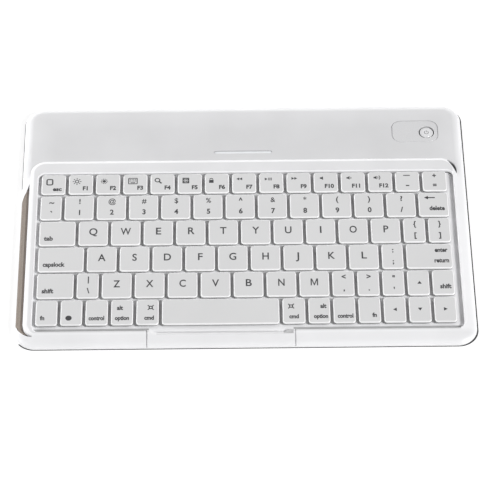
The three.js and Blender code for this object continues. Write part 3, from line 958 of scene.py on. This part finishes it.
def icon_play(bm, x, y):
    triangle(bm, x - 1.2, y, 1.6, 2.0, "right")
    bar(bm, x + 0.35, y, 0.6, 2.0)
    bar(bm, x + 1.5, y, 0.6, 2.0)


def icon_speaker(bm, x, y):
    bar(bm, x - 0.65, y, 0.7, 1.1)
    polygon(bm, [(x - 0.35, y - 0.5), (x + 0.7, y - 1.3), (x + 0.7, y + 1.3), (x - 0.35, y + 0.5)])


def icon_speaker_low(bm, x, y):
    icon_speaker(bm, x - 0.3, y)
    ring(bm, x + 0.2, y, 1.0, 0.4, -40, 80, 8)


def icon_speaker_high(bm, x, y):
    icon_speaker(bm, x - 0.9, y)
    ring(bm, x - 0.4, y, 1.0, 0.4, -45, 90, 8)
    ring(bm, x - 0.4, y, 2.0, 0.45, -45, 90, 10)


def icon_globe(bm, x, y):
    disc(bm, x, y, 1.7, 28)


def icon_command(bm, x, y):
    """A plain ring with four short spokes stands for the command mark."""
    ring(bm, x, y, 0.85, 0.6, steps=16)
    for dx in (-1, 1):
        for dy in (-1, 1):
            bar(bm, x + 1.15 * dx, y + 1.15 * dy, 1.2, 0.6, 45 * dx * dy)


def icon_back_arrow(bm, x, y):
    bar(bm, x + 0.8, y, 4.4, 0.75)
    triangle(bm, x - 1.9, y, 2.2, 2.6, "left")


def letter_m(bm, x, y, size):
    """A capital M whose foot is centred on (x, y)."""
    half, stem = 0.42 * size, 0.135 * size
    right = [(0.03 * size, 0), (half - stem, 0.72 * size), (half - stem, 0), (half, 0), (half, size),
             (half - 1.25 * stem, size), (0, 0.26 * size)]
    left = [(-u, v) for u, v in reversed(right[:-1])]
    polygon(bm, [(x + u, y + v) for u, v in right + left])


def make_legend(node, marks):
    """The printed marks of one key piece, from pairs of a drawing function and a cap's rectangle."""
    bm = bmesh.new()
    _, high = box_mm(node)
    for draw, rect in marks:
        draw(bm, rect)
    for vertex in bm.verts:
        vertex.co.z = high.z + LEGEND_LIFT
    legend = make_object(node + "_legend", bm)
    finish_piece(legend, LEGEND_INK, node, "keys")


LETTER_SIZE = 4.75
LETTER_DROP = 1.4  # from the middle of a cap to its letter's baseline
LETTER_NARROW = {"W": 0.75, "Z": 0.76, "X": 0.76, "O": 0.76, "Q": 0.86, "C": 0.78, "N": 0.76, "I": 1.0,
                 "E": 0.98, "F": 0.92, "B": 0.95, "R": 0.92, "L": 0.95, "J": 1.0}
FINE_MARKS = "*@$%&#"  # signs whose strokes stay thin
WORD_SIZE = 2.9
SMALL_SIZE = 2.7
NARROW = 0.8
SIGN_NARROW = 0.85
LETTER_BOLD, SIGN_BOLD, FINE_BOLD, WORD_BOLD = 0.1, 0.16, 0.07, 0.17


def letter(text):
    def draw(bm, r):
        x, y = (r[0] + r[1]) / 2, (r[2] + r[3]) / 2 - LETTER_DROP
        if text == "M":
            letter_m(bm, x, y, LETTER_SIZE)
        else:
            narrow = LETTER_NARROW.get(text, SIGN_NARROW)
            text_marks(bm, text, x, y, LETTER_SIZE, LETTER_BOLD, narrow)
    return draw


def stacked(upper, lower, upper_from_rear=5.9, lower_from_front=3.4, size=3.4):
    def draw(bm, r):
        x = (r[0] + r[1]) / 2 + 0.3
        upper_bold = FINE_BOLD if upper in FINE_MARKS else SIGN_BOLD
        text_marks(bm, upper, x, r[3] - upper_from_rear, size, upper_bold, SIGN_NARROW)
        text_marks(bm, lower, x, r[2] + lower_from_front, size, SIGN_BOLD, SIGN_NARROW)
    return draw


def stacked_row(uppers, lowers):
    return [stacked(upper, lower) for upper, lower in zip(uppers, lowers)]


def word(text, from_left=None, from_right=None, aside=0.0, baseline=3.6, size=WORD_SIZE, narrow=NARROW):
    """A word at a distance from the left or right edge of its cap, or `aside` from the middle."""
    def draw(bm, r):
        x, align = (r[0] + r[1]) / 2 + aside, "CENTER"
        if from_left is not None:
            x, align = r[0] + from_left, "LEFT"
        elif from_right is not None:
            x, align = r[1] - from_right, "RIGHT"
        text_marks(bm, text, x, r[2] + baseline, size, WORD_BOLD, narrow, align)
    return draw


def icon(draw_icon, across, up):
    return lambda bm, r: draw_icon(bm, r[0] + across * (r[1] - r[0]), r[2] + up * (r[3] - r[2]))


def both(*draws):
    def draw(bm, r):
        for one in draws:
            one(bm, r)
    return draw


def function_key(draw_icon, label, across=0.34, up=0.64):
    name = word(label, from_right=2.3, baseline=2.9, size=SMALL_SIZE, narrow=0.9)
    return both(icon(draw_icon, across, up), name)


def arrow(direction, across=0.5):
    return icon(lambda bm, x, y: triangle(bm, x, y, 2.0, 2.4, direction), across, 0.5)


def alt_option(alt_aside, option_aside):
    return both(word("alt", aside=alt_aside, baseline=10.2, size=SMALL_SIZE),
                word("option", aside=option_aside, baseline=3.3, size=2.6, narrow=0.76))


def command(across, aside):
    return both(icon(icon_command, across, 0.67), word("cmd", aside=aside, baseline=3.3, size=2.6))


def control(aside):
    return word("control", aside=aside, baseline=3.3, size=2.7, narrow=0.72)


FUNCTION_LEFT = [
    both(icon(icon_home, 0.34, 0.62),
         word("esc", from_right=2.2, baseline=2.5, size=SMALL_SIZE, narrow=0.95)),
    function_key(icon_sun, "F1"), function_key(icon_dim_sun, "F2"), function_key(icon_keyboard, "F3", 0.4),
    function_key(icon_search, "F4", 0.32), function_key(icon_grid, "F5"), function_key(icon_lock, "F6", 0.27),
    function_key(icon_skip("left"), "F7", 0.3, 0.7),
]
FUNCTION_RIGHT = [
    function_key(icon_play, "F8", 0.38, 0.68), function_key(icon_skip("right"), "F9", 0.33, 0.7),
    function_key(icon_speaker, "F10", 0.34, 0.7), function_key(icon_speaker_low, "F11", 0.34, 0.7),
    function_key(icon_speaker_high, "F12", 0.38, 0.7),
    both(icon(lambda bm, x, y: bar(bm, x, y, 3.7, 0.6), 0.48, 0.8),
         icon(lambda bm, x, y: bar(bm, x, y, 1.9, 0.8), 0.5, 0.28)),
    both(word("+", baseline=9.6, size=3.2), word("=", baseline=2.6, size=3.2)),
]
LEGENDS = {
    "keys_function_left": FUNCTION_LEFT,
    "keys_function_right": FUNCTION_RIGHT,
    "keys_number_left": [stacked("~", "`", 6.6, 2.6, 3.8)] + stacked_row("!@#$%", "12345"),
    "keys_number_right": stacked_row("^&*()?", "67890/"),
    "key_delete": [both(icon(icon_back_arrow, 0.38, 0.78), word("delete", from_right=2.2, baseline=4.4))],
    "key_tab": [word("tab", from_left=2.8, narrow=0.9)],
    "keys_brackets": [stacked("{", "["), stacked("}", "]")],
    "key_caps_lock": [word("capslock", from_left=2.7)],
    "key_semicolon": [stacked(":", ";")],
    "key_enter": [both(word("enter", from_right=2.6, baseline=11.4, narrow=0.74),
                       word("return", from_right=1.9, baseline=4.0, narrow=0.74))],
    "key_shift_left": [word("shift", from_left=2.8, narrow=0.86)],
    "key_backslash": [stacked("|", "\\")],
    "keys_punctuation": [stacked("<", ","), stacked(">", "."), stacked('"', "'", 7.2, 2.0)],
    "key_arrow_up": [arrow("up", 0.55)],
    "key_shift_right": [word("shift", from_right=1.9, baseline=4.4, narrow=0.84)],
    "keys_modifiers_left": [
        word("fn", from_left=2.6, baseline=3.7, size=SMALL_SIZE), icon(icon_globe, 0.38, 0.28),
        control(0.0), alt_option(-1.2, 0.0), command(0.64, 0.9),
    ],
    "keys_modifiers_right": [command(0.38, 0.0), alt_option(2.2, 0.8), control(0.5),
                             word("fn", from_right=2.2, baseline=3.7, size=SMALL_SIZE)],
    "keys_arrows": [arrow("left"), arrow("down"), arrow("right", 0.52)],
}


def legends_of(node):
    if node in LEGENDS:
        return LEGENDS[node]
    if len(node) == len("key_q"):
        return [letter(node[-1].upper())]
    return []


def make_keys():
    for node in sorted(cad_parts):
        if node.startswith(("key_", "keys_")) and node not in CAD_FINISHES:
            make_caps(node)
            marks = list(zip(legends_of(node), cap_rects(node)))
            if marks:
                make_legend(node, marks)


# ---- Control panel, power button and light bar ----
def draw_panel(bm):
    profile = [(0, PANEL_LOW.z)] + quarter(0.4, 0.3, PANEL_HIGH.z, "upper", 4)
    slab(bm, plan_of(PANEL_LOW, PANEL_HIGH), PANEL_CORNER, profile, 12)


def draw_button_seat(bm):
    """The hole round the button, with a rounded upper edge."""
    centre = (BUTTON_LOW + BUTTON_HIGH) / 2
    radius = BUTTON_HIGH.x - centre.x + BUTTON_GAP
    top = PANEL_HIGH.z
    profile = [(radius, 0), (radius, top - 0.4), (radius + 0.1, top - 0.25),
               (radius + 0.6, top), (radius + 0.8, top + 1)]
    lathe(bm, centre.x, centre.y, profile)


def draw_button(bm):
    """A round cap, slightly dished, with a rounded rim."""
    centre = (BUTTON_LOW + BUTTON_HIGH) / 2
    radius = BUTTON_HIGH.x - centre.x
    top = BUTTON_HIGH.z
    profile = [(radius - 0.3, BUTTON_LOW.z), (radius, BUTTON_LOW.z + 0.2), (radius, top - 0.4)]
    profile += [(radius - inset, z) for inset, z in quarter(0.8, 0.4, top, "upper", 5)[1:]]
    profile += [(radius - 1.1, top - 0.03), (radius - 1.6, top - 0.1),
                (radius - 2.4, top - 0.14), (0.3, top - 0.15)]
    lathe(bm, centre.x, centre.y, profile)


def draw_button_mark(bm):
    """A generic open ring with a bar, printed on the button."""
    centre = (BUTTON_LOW + BUTTON_HIGH) / 2
    ring(bm, centre.x, centre.y, 1.15, 0.28, 120, 300, 24)
    bar(bm, centre.x, centre.y + 0.9, 0.28, 1.3)
    for vertex in bm.verts:
        vertex.co.z = BUTTON_HIGH.z - 0.13


def draw_light_bar(bm):
    profile = [(0, LIGHT_LOW.z)] + quarter(0.25, 0.2, LIGHT_HIGH.z, "upper", 4)
    slab(bm, plan_of(LIGHT_LOW, LIGHT_HIGH), (LIGHT_HIGH.y - LIGHT_LOW.y) / 2 - 0.01, profile, 8)


def make_controls():
    panel = built("control_panel_insert", draw_panel)
    combine(panel, "DIFFERENCE", draw_button_seat)
    smooth(panel)
    finish_piece(panel, PANEL_WHITE, "base", "panel", "control_panel")
    button = built("power_button_cap", draw_button)
    smooth(button, 60)
    finish_piece(button, BUTTON_WHITE, "power_button", "button", "power_button")
    mark = built("power_button_mark", draw_button_mark)
    finish_piece(mark, LEGEND_INK, "power_button", "button")
    light_bar = built("indicator_light_bar", draw_light_bar)
    smooth(light_bar, 60)
    finish_piece(light_bar, LIGHT_WHITE, "base", "light", "indicator_bar")


# ---- Underside ----
def draw_cover(bm):
    profile = quarter(0.4, 0.35, COVER_LOW.z, "lower", 4) + [(0, COVER_HIGH.z)]
    slab(bm, plan_of(COVER_LOW, COVER_HIGH), COVER_CORNER, profile)


def draw_foot(bm, node):
    low, high = box_mm(node)
    profile = quarter(0.7, 0.45, low.z, "lower", 5) + [(0, high.z)]
    slab(bm, plan_of(low, high), (high.y - low.y) / 2 - 0.05, profile, 10)


def make_underside():
    feet = ("front_foot", "rear_foot")
    cover = built("bottom_cover_panel", draw_cover)
    for node in feet:
        low, high = box_mm(node)
        seat = grown(plan_of(low, high), CLEARANCE)
        cut(cover, seat, (high.y - low.y) / 2 + 0.25, 0, high.z + CLEARANCE)
    smooth(cover)
    finish_piece(cover, COVER_WHITE, "base", "cover", "bottom_cover")
    for node in feet:
        foot = built(node + "_strip", draw_foot, node)
        smooth(foot, 60)
        finish_piece(foot, FOOT_GREY, "base", "feet", node)


def paint(node, material):
    """Gives a finish to a CAD node that stays visible."""
    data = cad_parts[node].data
    data.materials.clear()
    data.materials.append(material)


# ---- Stage ----
FLOOR_REACH = 3000.0  # millimetres
FLOOR_GREY, FLOOR_GLOW = 0.45, 0.66
WORLD_STRENGTH = 0.22
AREA_LIGHTS = (  # name, place in metres, power in watts, width and height in metres
    ("key_light", (1.775, -1.243, 1.693), 60.0, 0.6, 0.6),
    ("rear_strip", (-0.1, 1.25, 0.38), 7.0, 1.5, 0.3),
    ("left_strip", (-1.25, 0.1, 0.40), 13.0, 1.2, 0.25),
)

# The camera, set so that the outline and the key rows meet the photo's.
CAMERA_ELEVATION, CAMERA_TURN = 49.985, -0.728  # degrees
CAMERA_DISTANCE = 1.5124  # metres
CAMERA_TARGET = (0.00275, -0.02006, 0.004)
CAMERA_LENS, CAMERA_SENSOR = 199.96, 36  # millimetres


def area_light(name, position, power, width, height):
    """A soft light that faces the origin."""
    data = bpy.data.lights.new(name, "AREA")
    data.shape = "RECTANGLE"
    data.energy = power
    data.size = width
    data.size_y = height
    lamp = bpy.data.objects.new(name, data)
    lamp.location = position
    lamp.rotation_euler = (-Vector(position)).to_track_quat("-Z", "Y").to_euler()
    bpy.context.scene.collection.objects.link(lamp)


def draw_floor(bm):
    corners = ((-1, -1), (1, -1), (1, 1), (-1, 1))
    polygon(bm, [(FLOOR_REACH * x, FLOOR_REACH * y) for x, y in corners])


def make_stage():
    floor = built("floor", draw_floor)
    material, shader = base_material("floor_white", 0.9, specular=0.1)
    shader.inputs["Base Color"].default_value = (FLOOR_GREY, FLOOR_GREY, FLOOR_GREY, 1)
    shader.inputs["Emission Color"].default_value = (1, 1, 1, 1)
    shader.inputs["Emission Strength"].default_value = FLOOR_GLOW
    floor.data.materials.append(material)
    world = bpy.data.worlds.new("studio")
    world.use_nodes = True
    background = world.node_tree.nodes["Background"]
    background.inputs["Color"].default_value = (1, 1, 1, 1)
    background.inputs["Strength"].default_value = WORLD_STRENGTH
    bpy.context.scene.world = world
    for light in AREA_LIGHTS:
        area_light(*light)
    bpy.context.scene.view_settings.view_transform = "Standard"


def make_camera():
    """A long lens from the front, about 50 degrees above the table."""
    elevation, turn = math.radians(CAMERA_ELEVATION), math.radians(CAMERA_TURN)
    level = math.cos(elevation)
    direction = Vector((math.sin(turn) * level, -math.cos(turn) * level, math.sin(elevation)))
    data = bpy.data.cameras.new("camera")
    data.sensor_width = CAMERA_SENSOR
    data.lens = CAMERA_LENS
    data.clip_end = 20
    camera = bpy.data.objects.new("camera", data)
    camera.location = Vector(CAMERA_TARGET) + CAMERA_DISTANCE * direction
    camera.rotation_euler = (-direction).to_track_quat("-Z", "Y").to_euler()
    bpy.context.scene.collection.objects.link(camera)
    bpy.context.scene.camera = camera


make_stage()
make_camera()
make_shell()
make_edge_line()
make_grip()
make_keys()
make_controls()
make_underside()
for node_name, node_material in CAD_FINISHES.items():
    paint(node_name, node_material)
